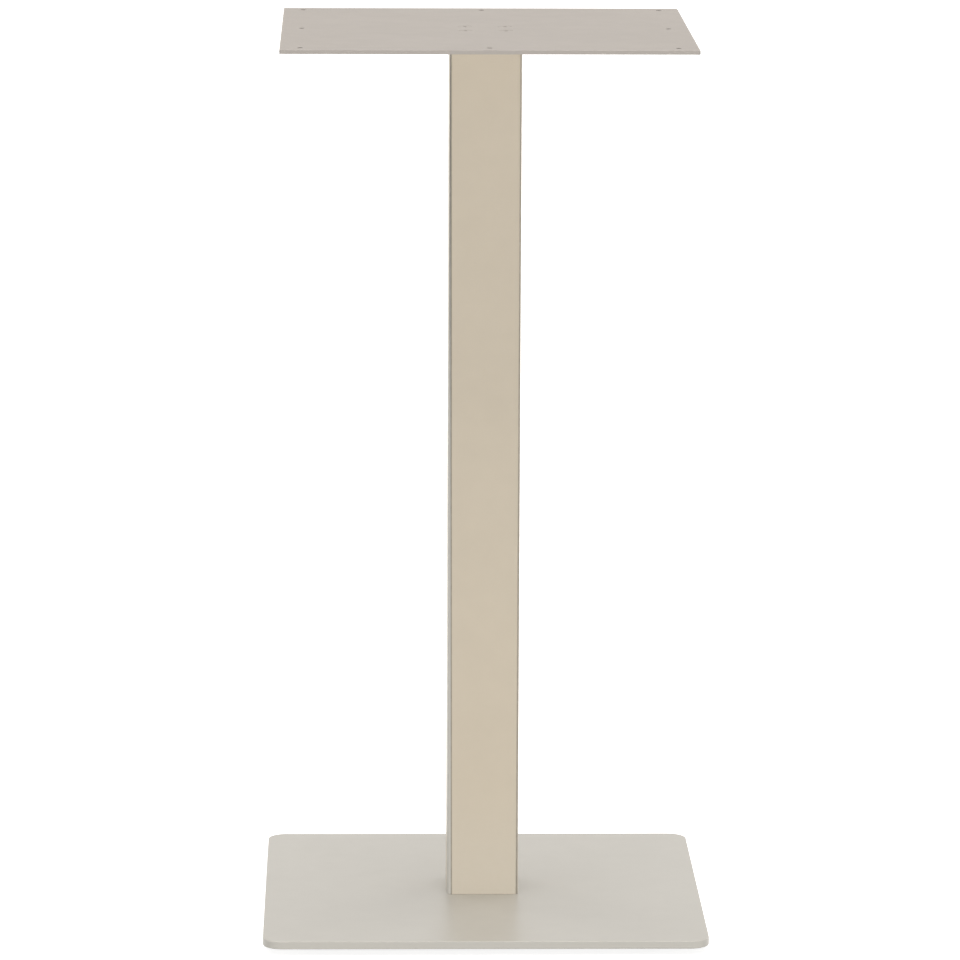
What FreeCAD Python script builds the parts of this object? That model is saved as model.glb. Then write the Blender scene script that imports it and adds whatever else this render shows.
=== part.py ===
import FreeCAD, Part
import math
import os
import Sketcher

# A square pedestal leg for a bar-height table, in millimetres.
# A tube stands between a heavy base plate and a thinner top plate. A steel end plate is
# welded inside each end of the tube, and four countersunk screws hold each outer plate to
# it. Four levelling glides screw into the underside of the base plate.
# The origin is the middle of the footprint on the floor, +Z is up and the front faces -Y.

SIZES = {
    # Base plate
    "base_side": 550,
    "base_thickness": 10,
    "base_corner_radius": 24,
    "base_edge_round": 1.2,
    # Column tube
    "tube_width": 90,
    "tube_wall": 2.5,
    "tube_corner_radius": 5,
    "tube_length": 1090,
    "tube_end_chamfer": 0.4,
    # Top plate and the holes for the tabletop's own screws
    "top_side": 505,
    "top_thickness": 5,
    "top_corner_radius": 2.5,
    "top_edge_round": 0.5,
    "fixing_inset": 25,
    "fixing_diameter": 7,
    # End plates, welded flush with the ends of the tube
    "end_plate_thickness": 8,
    "end_plate_clearance": 0.2,
    "weld_depth": 2,
    "vent_diameter": 20,
    # Countersunk screws with a hexagon socket, set in from the tube's inner walls
    "screw_inset": 17.5,
    "screw_diameter": 8,
    "screw_head_diameter": 16,
    "screw_head_rim": 0.4,
    "screw_head_sink": 0.2,
    "screw_tip_chamfer": 1,
    "shank_clearance": 0.5,
    "thread_clearance": 0.05,
    "thread_lead_in": 0.6,
    "socket_flats": 5,
    "socket_depth": 3,
    "base_screw_grip": 6.2,
    "top_screw_grip": 7.2,
    # Glide stud: a round head that swivels in the pad, a hexagon for a spanner, a thread
    "glide_inset": 55,
    "stud_diameter": 8,
    "stud_tip_gap": 0.5,
    "stud_roof": 2,
    "stud_neck_diameter": 9,
    "stud_head_diameter": 16,
    "stud_head_thickness": 1.8,
    "hex_flats": 13,
    "hex_thickness": 3,
    "hex_chamfer": 0.5,
    "hex_gap": 0.4,
    # Glide pad: moulded plastic, snapped over the head of the stud
    "pad_diameter": 30,
    "pad_floor": 1.3,
    "pad_lip": 1.4,
    "pad_foot_chamfer": 0.8,
    "pad_top_chamfer": 0.5,
    "swivel_clearance": 0.05,
    "swivel_play": 0.1,
    "slot_width": 1.2,
    "slot_overrun": 1,
    "gate_diameter": 6,
    "gate_depth": 0.4,
}

CORNERS = ((1, 1), (-1, 1), (-1, -1), (1, -1))


def size(*names):
    """The sum of named sizes, as an expression."""
    return "(" + " + ".join(f"sizes.{name}" for name in names) + ")"


# Heights above the floor and depths, each worked out from the named sizes
PAD_HEIGHT = size("pad_floor", "stud_head_thickness", "swivel_play", "pad_lip")
HEX_UNDERSIDE = f"({PAD_HEIGHT} + sizes.hex_gap)"
BASE_UNDERSIDE = f"({HEX_UNDERSIDE} + sizes.hex_thickness)"
BASE_TOP = f"({BASE_UNDERSIDE} + sizes.base_thickness)"
TUBE_TOP = f"({BASE_TOP} + sizes.tube_length)"
LEG_TOP = f"({TUBE_TOP} + sizes.top_thickness)"
TUBE_INSIDE = "(sizes.tube_width - 2 * sizes.tube_wall)"
SCREW_PLACE = f"({TUBE_INSIDE} / 2 - sizes.screw_inset)"
GLIDE_PLACE = "(sizes.base_side / 2 - sizes.glide_inset)"
FIXING_PLACE = "(sizes.top_side / 2 - sizes.fixing_inset)"
TUBE_INNER_RADIUS = "(sizes.tube_corner_radius - sizes.tube_wall)"
TAPPED_DIAMETER = "(sizes.screw_diameter + 2 * sizes.thread_clearance)"
SINK_DIAMETER = "(sizes.screw_head_diameter + 2 * (sizes.screw_head_rim + sizes.screw_head_sink))"


def make_sheet(doc):
    """Writes every driving size into a cell of its own, under its own name."""
    sheet = doc.addObject("Spreadsheet::Sheet", "sizes")
    for row, (name, value) in enumerate(SIZES.items(), start=1):
        sheet.set(f"A{row}", name)
        sheet.set(f"B{row}", str(value))
        sheet.setAlias(f"B{row}", name)
    doc.recompute()


def new_body(doc, label, height=None, upside_down=False, corner=None, reach=None):
    """An empty body on the floor or at a height, moved out to a corner of a square pattern."""
    body = doc.addObject("PartDesign::Body", "".join(w.capitalize() for w in label.split("_")))
    body.Label = label
    if upside_down:
        half_turn = FreeCAD.Rotation(FreeCAD.Vector(1, 0, 0), 180)
        body.Placement = FreeCAD.Placement(FreeCAD.Vector(), half_turn)
    if height:
        body.setExpression("Placement.Base.z", height)
    if corner:
        body.setExpression("Placement.Base.x", f"{corner[0]} * {reach}")
        body.setExpression("Placement.Base.y", f"{corner[1]} * {reach}")
    return body


def origin_feature(body, role):
    return next(feature for feature in body.Origin.OriginFeatures if feature.Role == role)


def new_sketch(body, name, role="XY_Plane", height=None):
    sketch = body.newObject("Sketcher::SketchObject", name)
    sketch.AttachmentSupport = (origin_feature(body, role), [""])
    sketch.MapMode = "FlatFace"
    if height:
        sketch.setExpression("AttachmentOffset.Base.z", height)
    return sketch


def bind(sketch, constraint, name, expression):
    """Adds a constraint to a sketch and binds its value to an expression."""
    index = sketch.addConstraint(constraint)
    sketch.renameConstraint(index, name)
    sketch.setExpression(f"Constraints.{name}", expression)


def pin_point(sketch, line, end, name, across, up):
    """Fixes a point by its distances from the sketch's axes; None puts it on that axis."""
    if across is None:
        sketch.addConstraint(Sketcher.Constraint("PointOnObject", line, end, -2))
    else:
        start = Sketcher.Constraint("DistanceX", -1, 1, line, end, 1)
        bind(sketch, start, f"{name}_across", across)
    if up is None:
        sketch.addConstraint(Sketcher.Constraint("PointOnObject", line, end, -1))
    else:
        start = Sketcher.Constraint("DistanceY", -1, 1, line, end, 1)
        bind(sketch, start, f"{name}_up", up)


def value_of(feature, expression):
    """The present value of an expression, to draw a first outline from or to find edges by."""
    return 0.0 if expression is None else float(feature.evalExpression(expression))


def draw_profile(sketch, corners):
    """A closed outline of straight lines through corners given as (across, up)."""
    points = [FreeCAD.Vector(value_of(sketch, across), value_of(sketch, up)) for across, up in corners]
    lines = []
    for number, point in enumerate(points):
        following = points[(number + 1) % len(points)]
        lines.append(sketch.addGeometry(Part.LineSegment(point, following), False))
    for number, line in enumerate(lines):
        following = lines[(number + 1) % len(lines)]
        sketch.addConstraint(Sketcher.Constraint("Coincident", line, 2, following, 1))
    for number, (across, up) in enumerate(corners):
        pin_point(sketch, lines[number], 1, f"corner{number}", across, up)


def draw_rounded_square(sketch, name, side, radius):
    """A square about the sketch's origin, with a tangent arc at each corner."""
    half = value_of(sketch, side) / 2
    bend = value_of(sketch, radius)
    flat = half - bend
    arcs = []
    lines = []
    for number, (right, top) in enumerate(((1, 1), (-1, 1), (-1, -1), (1, -1))):
        start_angle = number * math.pi / 2
        circle = Part.Circle(FreeCAD.Vector(right * flat, top * flat), FreeCAD.Vector(0, 0, 1), bend)
        arc = Part.ArcOfCircle(circle, start_angle, start_angle + math.pi / 2)
        arcs.append(sketch.addGeometry(arc, False))
    for ends in (
        ((flat, half), (-flat, half)),
        ((-half, flat), (-half, -flat)),
        ((-flat, -half), (flat, -half)),
        ((half, -flat), (half, flat)),
    ):
        start, finish = (FreeCAD.Vector(*end) for end in ends)
        lines.append(sketch.addGeometry(Part.LineSegment(start, finish), False))
    for number in range(4):
        sketch.addConstraint(Sketcher.Constraint("Tangent", arcs[number], 2, lines[number], 1))
        following = arcs[(number + 1) % 4]
        sketch.addConstraint(Sketcher.Constraint("Tangent", lines[number], 2, following, 1))
    for number, direction in enumerate(("Horizontal", "Vertical", "Horizontal", "Vertical")):
        sketch.addConstraint(Sketcher.Constraint(direction, lines[number]))
    for number in (1, 2, 3):
        sketch.addConstraint(Sketcher.Constraint("Equal", arcs[0], arcs[number]))
    bind(sketch, Sketcher.Constraint("Radius", arcs[0], bend), f"{name}_radius", radius)
    back, left, front, right = lines
    sides = (
        ("back", Sketcher.Constraint("DistanceY", -1, 1, back, 1, half)),
        ("left", Sketcher.Constraint("DistanceX", left, 1, -1, 1, half)),
        ("front", Sketcher.Constraint("DistanceY", front, 1, -1, 1, half)),
        ("right", Sketcher.Constraint("DistanceX", -1, 1, right, 1, half)),
    )
    for side_name, constraint in sides:
        bind(sketch, constraint, f"{name}_{side_name}", f"{side} / 2")


def draw_circle(sketch, name, across, up, diameter):
    centre = FreeCAD.Vector(value_of(sketch, across), value_of(sketch, up))
    radius = value_of(sketch, diameter) / 2
    circle = sketch.addGeometry(Part.Circle(centre, FreeCAD.Vector(0, 0, 1), radius), False)
    pin_point(sketch, circle, 3, name, across, up)
    bind(sketch, Sketcher.Constraint("Diameter", circle, 2 * radius), f"{name}_diameter", diameter)


def draw_hexagon(sketch, flats):
    """A regular hexagon about the sketch's origin, inside a circle drawn for construction."""
    corner_radius = value_of(sketch, flats) / 2 / math.cos(math.radians(30))
    circle = Part.Circle(FreeCAD.Vector(), FreeCAD.Vector(0, 0, 1), corner_radius)
    ring = sketch.addGeometry(circle, True)
    sketch.addConstraint(Sketcher.Constraint("Coincident", ring, 3, -1, 1))
    points = [FreeCAD.Vector(corner_radius, 0)]
    turn = FreeCAD.Rotation(FreeCAD.Vector(0, 0, 1), 60)
    for _ in range(5):
        points.append(turn.multVec(points[-1]))
    sides = []
    for number, point in enumerate(points):
        line = Part.LineSegment(point, points[(number + 1) % 6])
        sides.append(sketch.addGeometry(line, False))
    for number, line in enumerate(sides):
        following = sides[(number + 1) % 6]
        sketch.addConstraint(Sketcher.Constraint("Coincident", line, 2, following, 1))
        sketch.addConstraint(Sketcher.Constraint("PointOnObject", line, 1, ring))
    for line in sides[1:]:
        sketch.addConstraint(Sketcher.Constraint("Equal", sides[0], line))
    sketch.addConstraint(Sketcher.Constraint("Horizontal", sides[1]))
    across_corners = f"{flats} / cos(30)"
    bind(sketch, Sketcher.Constraint("Diameter", ring, 2 * corner_radius), "corners", across_corners)


def pad(body, sketch, name, length):
    feature = body.newObject("PartDesign::Pad", name)
    feature.Profile = (sketch, [""])
    feature.setExpression("Length", length)
    return feature


def pocket(body, sketch, name, depth, upward=False):
    feature = body.newObject("PartDesign::Pocket", name)
    feature.Profile = (sketch, [""])
    feature.setExpression("Length", depth)
    feature.Reversed = upward
    return feature


def turn(body, sketch, name, kind="PartDesign::Revolution"):
    """Turns a profile, or cuts a groove, right round the upright axis of its sketch."""
    feature = body.newObject(kind, name)
    feature.Profile = (sketch, [""])
    feature.ReferenceAxis = (sketch, ["V_Axis"])
    feature.Angle = 360
    return feature


def drill(body, sketch, name, diameter, upward, depth=None, sink=None):
    """Drills at a sketch's circle, right through or to a depth, with a 90 degree countersink."""
    body.Document.recompute()
    hole = body.newObject("PartDesign::Hole", name)
    hole.Profile = (sketch, [""])
    hole.Threaded = False
    hole.Reversed = upward
    hole.setExpression("Diameter", diameter)
    hole.DrillPoint = "Flat"
    if sink:
        hole.HoleCutType = "Countersink"
        hole.HoleCutCustomValues = True
        hole.setExpression("HoleCutDiameter", sink)
        hole.HoleCutCountersinkAngle = 90
    if depth:
        hole.DepthType = "Dimension"
        hole.setExpression("Depth", depth)
    else:
        hole.DepthType = "ThroughAll"
    return hole


def four_round(body, feature, name):
    """Repeats a feature four times round the body's upright axis."""
    pattern = body.newObject("PartDesign::PolarPattern", name)
    pattern.Originals = [feature]
    pattern.Axis = (origin_feature(body, "Z_Axis"), [""])
    pattern.Angle = 360
    pattern.Occurrences = 4
    body.Tip = pattern
    return pattern


def level_edges(feature, beyond=0.0):
    """Names of the edges that lie level and reach further from the middle than a distance."""
    names = []
    for number, edge in enumerate(feature.Shape.Edges, start=1):
        box = edge.BoundBox
        reach = max(box.XMax, -box.XMin, box.YMax, -box.YMin)
        if box.ZLength < 1e-6 and reach > beyond:
            names.append(f"Edge{number}")
    return names


def round_outline(body, feature, name, radius):
    """Eases the top and bottom outline edges of a plate that has no holes yet."""
    body.Document.recompute()
    fillet = body.newObject("PartDesign::Fillet", name)
    fillet.Base = (feature, level_edges(feature))
    fillet.setExpression("Radius", radius)


def deburr_tube(body, feature, name):
    """Takes the burr off the outer edges of both sawn ends, which leaves a fine joint line."""
    body.Document.recompute()
    middle_of_wall = value_of(feature, f"(sizes.tube_width + {TUBE_INSIDE}) / 4")
    chamfer = body.newObject("PartDesign::Chamfer", name)
    chamfer.Base = (feature, level_edges(feature, middle_of_wall))
    chamfer.setExpression("Size", "sizes.tube_end_chamfer")


def drill_four(body, name, place, diameter, upward, depth=None, sink=None, height=None):
    """Four equal holes at (place, place) and its three turns about the middle."""
    across, up = place
    sketch = new_sketch(body, f"{name}Centre", height=height)
    draw_circle(sketch, "hole", across, up, diameter)
    hole = drill(body, sketch, name, diameter, upward, depth, sink)
    four_round(body, hole, f"{name}Pattern")


def base_plate(doc):
    """Rounded plate, countersunk from below for the screws and tapped for the glides."""
    body = new_body(doc, "base_plate", BASE_UNDERSIDE)
    outline = new_sketch(body, "BaseOutline")
    draw_rounded_square(outline, "base", "sizes.base_side", "sizes.base_corner_radius")
    plate = pad(body, outline, "BaseSheet", "sizes.base_thickness")
    round_outline(body, plate, "BaseEdges", "sizes.base_edge_round")
    shank_hole = size("screw_diameter", "shank_clearance", "shank_clearance")
    screw_place = (SCREW_PLACE, SCREW_PLACE)
    drill_four(body, "BaseScrewHole", screw_place, shank_hole, upward=True, sink=SINK_DIAMETER)
    tapped = "(sizes.stud_diameter + 2 * sizes.thread_clearance)"
    lead_in = f"({tapped} + 2 * sizes.thread_lead_in)"
    depth = "(sizes.base_thickness - sizes.stud_roof)"
    glide_place = (GLIDE_PLACE, GLIDE_PLACE)
    drill_four(body, "GlideHole", glide_place, tapped, upward=True, depth=depth, sink=lead_in)
    return body


def column_tube(doc):
    """Square hollow section with rounded corners, standing on the base plate."""
    body = new_body(doc, "column_tube", BASE_TOP)
    section = new_sketch(body, "TubeSection")
    draw_rounded_square(section, "outer", "sizes.tube_width", "sizes.tube_corner_radius")
    draw_rounded_square(section, "inner", TUBE_INSIDE, TUBE_INNER_RADIUS)
    walls = pad(body, section, "TubeWalls", "sizes.tube_length")
    deburr_tube(body, walls, "TubeEnds")
    return body


def end_plate(doc, label, height, upside_down, outer_thickness):
    """Plate inside the tube's end. Its weld fills the gap to the tube and is ground flush.

    The lead-in of each tapped hole also clears a screw head whose cone is deeper than the
    outer plate."""
    body = new_body(doc, label, height, upside_down)
    name = body.Name
    outline = new_sketch(body, f"{name}Outline")
    side = f"({TUBE_INSIDE} - 2 * sizes.end_plate_clearance)"
    draw_rounded_square(outline, "plate", side, TUBE_INNER_RADIUS)
    pad(body, outline, f"{name}Sheet", "sizes.end_plate_thickness")
    bead = new_sketch(body, f"{name}WeldOutline")
    draw_rounded_square(bead, "weld", TUBE_INSIDE, TUBE_INNER_RADIUS)
    pad(body, bead, f"{name}Weld", "sizes.weld_depth")
    lead_in = f"({TAPPED_DIAMETER} + 2 * sizes.thread_lead_in)"
    cone = f"({SINK_DIAMETER} - 2 * {outer_thickness} + 2 * sizes.thread_clearance)"
    screw_place = (SCREW_PLACE, SCREW_PLACE)
    sink = f"max({lead_in}; {cone})"
    drill_four(body, f"{name}Tapped", screw_place, TAPPED_DIAMETER, upward=True, sink=sink)
    middle = new_sketch(body, f"{name}VentCentre")
    draw_circle(middle, "vent", None, None, "sizes.vent_diameter")
    drill(body, middle, f"{name}Vent", "sizes.vent_diameter", upward=True)
    return body


def top_plate(doc):
    """Thin plate with near-sharp corners, countersunk from above, drilled for a tabletop."""
    body = new_body(doc, "top_plate", TUBE_TOP)
    outline = new_sketch(body, "TopOutline")
    draw_rounded_square(outline, "top", "sizes.top_side", "sizes.top_corner_radius")
    plate = pad(body, outline, "TopSheet", "sizes.top_thickness")
    round_outline(body, plate, "TopEdges", "sizes.top_edge_round")
    shank_hole = size("screw_diameter", "shank_clearance", "shank_clearance")
    upper_face = "sizes.top_thickness"
    screw_place = (SCREW_PLACE, SCREW_PLACE)
    drill_four(
        body, "TopScrewHole", screw_place, shank_hole, upward=False, sink=SINK_DIAMETER, height=upper_face
    )
    corner_place = (FIXING_PLACE, FIXING_PLACE)
    drill_four(body, "CornerFixing", corner_place, "sizes.fixing_diameter", upward=True)
    side_place = (FIXING_PLACE, None)
    drill_four(body, "SideFixing", side_place, "sizes.fixing_diameter", upward=True)
    return body


def countersunk_screw(doc, label, height, upside_down, corner, outer_thickness, grip):
    """Screw with its head's flat face at the bottom, just inside the outer plate's face."""
    body = new_body(doc, label, height, upside_down, corner, SCREW_PLACE)
    name = body.Name
    head = "sizes.screw_head_diameter / 2"
    shank = "sizes.screw_diameter / 2"
    neck = f"(sizes.screw_head_rim + {head} - {shank})"
    length = f"({outer_thickness} + {grip} - sizes.screw_head_sink)"
    tip = "sizes.screw_tip_chamfer"
    profile = new_sketch(body, f"{name}Profile", "XZ_Plane")
    draw_profile(
        profile,
        (
            (None, None),
            (head, None),
            (head, "sizes.screw_head_rim"),
            (shank, neck),
            (shank, f"{length} - {tip}"),
            (f"{shank} - {tip}", length),
            (None, length),
        ),
    )
    turn(body, profile, f"{name}Turned")
    socket = new_sketch(body, f"{name}SocketOutline")
    draw_hexagon(socket, "sizes.socket_flats")
    pocket(body, socket, f"{name}Socket", "sizes.socket_depth", upward=True)
    return body


def glide_stud(doc, label, corner):
    """Steel stud: head on the pad's floor, hexagon up against the base plate, thread above."""
    body = new_body(doc, label, "sizes.pad_floor", corner=corner, reach=GLIDE_PLACE)
    name = body.Name
    head = "sizes.stud_head_diameter / 2"
    neck = "sizes.stud_neck_diameter / 2"
    shank = "sizes.stud_diameter / 2"
    collar = f"({HEX_UNDERSIDE} - sizes.pad_floor)"
    shoulder = f"({BASE_UNDERSIDE} - sizes.pad_floor)"
    length = f"({shoulder} + sizes.base_thickness - sizes.stud_roof - sizes.stud_tip_gap)"
    tip = "sizes.screw_tip_chamfer"
    profile = new_sketch(body, f"{name}Profile", "XZ_Plane")
    draw_profile(
        profile,
        (
            (None, None),
            (head, None),
            (head, "sizes.stud_head_thickness"),
            (neck, "sizes.stud_head_thickness"),
            (neck, shoulder),
            (shank, shoulder),
            (shank, f"{length} - {tip}"),
            (f"{shank} - {tip}", length),
            (None, length),
        ),
    )
    turn(body, profile, f"{name}Turned")
    hexagon = new_sketch(body, f"{name}HexOutline", height=collar)
    draw_hexagon(hexagon, "sizes.hex_flats")
    pad(body, hexagon, f"{name}Hex", "sizes.hex_thickness")
    corner_radius = "sizes.hex_flats / 2 / cos(30)"
    chamfer = new_sketch(body, f"{name}HexChamferProfile", "XZ_Plane")
    draw_profile(
        chamfer,
        (
            (f"{corner_radius} - 2 * sizes.hex_chamfer", collar),
            (f"{corner_radius} + sizes.hex_chamfer", collar),
            (f"{corner_radius} + sizes.hex_chamfer", f"{collar} + 1.5 * sizes.hex_chamfer"),
        ),
    )
    turn(body, chamfer, f"{name}HexChamfer", "PartDesign::Groove")
    return body


def glide_pad(doc, label, corner):
    """Moulded pad with a pocket for the stud's head and a slotted lip that snaps over it."""
    body = new_body(doc, label, corner=corner, reach=GLIDE_PLACE)
    name = body.Name
    rim = "sizes.pad_diameter / 2"
    foot = "sizes.pad_foot_chamfer"
    crown = "sizes.pad_top_chamfer"
    gate = "sizes.gate_diameter / 2"
    socket = "(sizes.stud_head_diameter / 2 + sizes.swivel_clearance)"
    mouth = "(sizes.stud_neck_diameter / 2 + sizes.swivel_clearance)"
    ledge = size("pad_floor", "stud_head_thickness", "swivel_play")
    profile = new_sketch(body, f"{name}Profile", "XZ_Plane")
    draw_profile(
        profile,
        (
            (None, "sizes.gate_depth"),
            (gate, "sizes.gate_depth"),
            (gate, None),
            (f"{rim} - {foot}", None),
            (rim, foot),
            (rim, f"{PAD_HEIGHT} - {crown}"),
            (f"{rim} - {crown}", PAD_HEIGHT),
            (mouth, PAD_HEIGHT),
            (mouth, ledge),
            (socket, ledge),
            (socket, "sizes.pad_floor"),
            (None, "sizes.pad_floor"),
        ),
    )
    turn(body, profile, f"{name}Moulded")
    slot = new_sketch(body, f"{name}SlotOutline", height=PAD_HEIGHT)
    draw_slot(slot, f"({socket} + sizes.slot_overrun)", "sizes.slot_width")
    cut = pocket(body, slot, f"{name}Slot", "sizes.pad_lip")
    four_round(body, cut, f"{name}Slots")
    return body


def draw_slot(sketch, reach, width):
    """A straight slot from the middle out along the sketch's X axis."""
    far = value_of(sketch, reach)
    half = value_of(sketch, width) / 2
    corners = ((0, -half), (far, -half), (far, half), (0, half))
    lines = []
    for number, start in enumerate(corners):
        finish = corners[(number + 1) % 4]
        line = Part.LineSegment(FreeCAD.Vector(*start), FreeCAD.Vector(*finish))
        lines.append(sketch.addGeometry(line, False))
    for number, line in enumerate(lines):
        sketch.addConstraint(Sketcher.Constraint("Coincident", line, 2, lines[(number + 1) % 4], 1))
    front, end, back, start = lines
    sketch.addConstraint(Sketcher.Constraint("Horizontal", front))
    sketch.addConstraint(Sketcher.Constraint("Horizontal", back))
    sketch.addConstraint(Sketcher.Constraint("PointOnObject", front, 1, -2))
    sketch.addConstraint(Sketcher.Constraint("Vertical", start))
    sketch.addConstraint(Sketcher.Constraint("Symmetric", end, 1, end, 2, -1))
    bind(sketch, Sketcher.Constraint("DistanceX", front, 1, front, 2, far), "reach", reach)
    bind(sketch, Sketcher.Constraint("DistanceY", end, 1, end, 2, 2 * half), "width", width)


def check(doc, bodies):
    """Stops if any feature failed or any sub-part isn't one valid solid."""
    for thing in doc.Objects:
        if "Invalid" in thing.State or "Error" in thing.State:
            raise RuntimeError(f"{thing.Label} failed: {thing.State}")
    for body in bodies:
        shape = body.Shape
        if shape.isNull() or not shape.isValid() or len(shape.Solids) != 1:
            raise RuntimeError(f"{body.Label} isn't one valid solid")


def main():
    doc = FreeCAD.newDocument("TableLeg")
    make_sheet(doc)
    bodies = [
        base_plate(doc),
        column_tube(doc),
        end_plate(doc, "foot_end_plate", BASE_TOP, False, "sizes.base_thickness"),
        end_plate(doc, "head_end_plate", TUBE_TOP, True, "sizes.top_thickness"),
        top_plate(doc),
    ]
    base_head = f"({BASE_UNDERSIDE} + sizes.screw_head_sink)"
    top_head = f"({LEG_TOP} - sizes.screw_head_sink)"
    for number, corner in enumerate(CORNERS, start=1):
        bodies.append(
            countersunk_screw(
                doc,
                f"base_screw_{number}",
                base_head,
                False,
                corner,
                "sizes.base_thickness",
                "sizes.base_screw_grip",
            )
        )
        bodies.append(
            countersunk_screw(
                doc,
                f"top_screw_{number}",
                top_head,
                True,
                corner,
                "sizes.top_thickness",
                "sizes.top_screw_grip",
            )
        )
        bodies.append(glide_pad(doc, f"glide_pad_{number}", corner))
        bodies.append(glide_stud(doc, f"glide_stud_{number}", corner))
    doc.recompute()
    check(doc, bodies)
    os.makedirs("parts", exist_ok=True)
    for body in bodies:
        body.Shape.exportStep(f"parts/{body.Label}.step")
        box = body.Shape.BoundBox
        print(f"{body.Label}: {body.Shape.Volume:.1f} mm3, z {box.ZMin:.2f} to {box.ZMax:.2f}")


main()
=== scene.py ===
# %% [markdown]
# # A pedestal table leg in satin powder coat
#
# A tall square leg for a bar table: a steel tube between a heavy base plate and a thinner
# top plate, on four levelling glides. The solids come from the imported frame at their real
# size. This lesson gives them their finishes, makes the screws, studs and pads again with
# threads and mouldings that a solid leaves out, and sets up a pale studio.
#
# The frame is loaded first, and everything later is measured from it, so nothing has to be
# fitted by eye. Lengths are in metres, +Z is up and the front faces -Y.

# %% Load the frame
import math

import bmesh
import bpy
from mathutils import Matrix, Vector


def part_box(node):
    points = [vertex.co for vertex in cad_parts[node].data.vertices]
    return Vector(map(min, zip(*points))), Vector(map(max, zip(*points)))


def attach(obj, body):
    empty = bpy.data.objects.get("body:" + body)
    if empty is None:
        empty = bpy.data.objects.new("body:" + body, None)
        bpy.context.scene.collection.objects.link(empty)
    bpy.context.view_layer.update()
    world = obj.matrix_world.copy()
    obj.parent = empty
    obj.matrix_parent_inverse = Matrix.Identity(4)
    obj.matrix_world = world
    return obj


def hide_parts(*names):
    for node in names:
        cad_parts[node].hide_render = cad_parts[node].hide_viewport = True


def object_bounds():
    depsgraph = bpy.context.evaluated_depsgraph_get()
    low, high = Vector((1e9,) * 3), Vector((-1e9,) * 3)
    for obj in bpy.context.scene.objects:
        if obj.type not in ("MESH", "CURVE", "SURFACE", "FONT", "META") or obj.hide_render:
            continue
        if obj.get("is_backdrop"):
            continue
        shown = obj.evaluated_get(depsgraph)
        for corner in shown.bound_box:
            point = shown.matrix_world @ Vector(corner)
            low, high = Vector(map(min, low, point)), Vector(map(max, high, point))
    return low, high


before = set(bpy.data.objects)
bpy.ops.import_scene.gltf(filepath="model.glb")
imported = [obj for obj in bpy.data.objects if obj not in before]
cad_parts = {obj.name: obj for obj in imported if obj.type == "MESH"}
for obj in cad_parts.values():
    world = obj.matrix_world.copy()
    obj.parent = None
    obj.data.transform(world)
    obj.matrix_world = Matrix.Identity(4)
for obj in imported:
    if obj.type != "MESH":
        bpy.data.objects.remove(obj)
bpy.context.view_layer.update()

MM = 0.001

# %% [markdown]
# ## Shader maths written as Python
#
# A finish is a small tree of nodes, and much of it is arithmetic: a noise scaled down, a
# mask turned round, two masks multiplied. Drawn by hand that is a wall of Math nodes. Here
# one small class wraps a node's output and overloads the arithmetic signs, so `1 - mask`
# adds its Math node by itself. A vector goes through Vector Math instead, because a Math
# node would flatten it to one number.

# %% A socket that does arithmetic
class Value:
    """An output of a shader node. Arithmetic on it adds the nodes that work it out."""

    def __init__(self, finish, socket):
        self.finish = finish
        self.socket = socket

    def beside(self, name):
        """Another output of the same node."""
        return Value(self.finish, self.socket.node.outputs[name])

    def work_out(self, operation, first, second):
        kind = "ShaderNodeVectorMath" if self.socket.type == "VECTOR" else "ShaderNodeMath"
        return self.finish.node(kind, {"operation": operation}, {0: first, 1: second})

    def __add__(self, other):
        return self.work_out("ADD", self, other)

    def __radd__(self, other):
        return self.work_out("ADD", other, self)

    def __sub__(self, other):
        return self.work_out("SUBTRACT", self, other)

    def __rsub__(self, other):
        return self.work_out("SUBTRACT", other, self)

    def __mul__(self, other):
        return self.work_out("MULTIPLY", self, other)

    def __rmul__(self, other):
        return self.work_out("MULTIPLY", other, self)

    def __truediv__(self, other):
        return self.work_out("DIVIDE", self, other)

    def __rtruediv__(self, other):
        return self.work_out("DIVIDE", other, self)


# %% [markdown]
# ## One method for every other node
#
# A node has settings, such as a noise's kind or a ramp's stops, and sockets, which take a
# plain value or a link. One method takes both. The settings go first, because some of them
# change which sockets the node has. A few short methods on top of it name the things that
# every finish below asks for: a place on the piece, a noise, a spread and a blend.

# %% The sheet of nodes behind one finish
MIX_FIRST, MIX_SECOND, MIX_RESULT = 6, 7, 2     # a Mix node's sockets for colours


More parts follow.
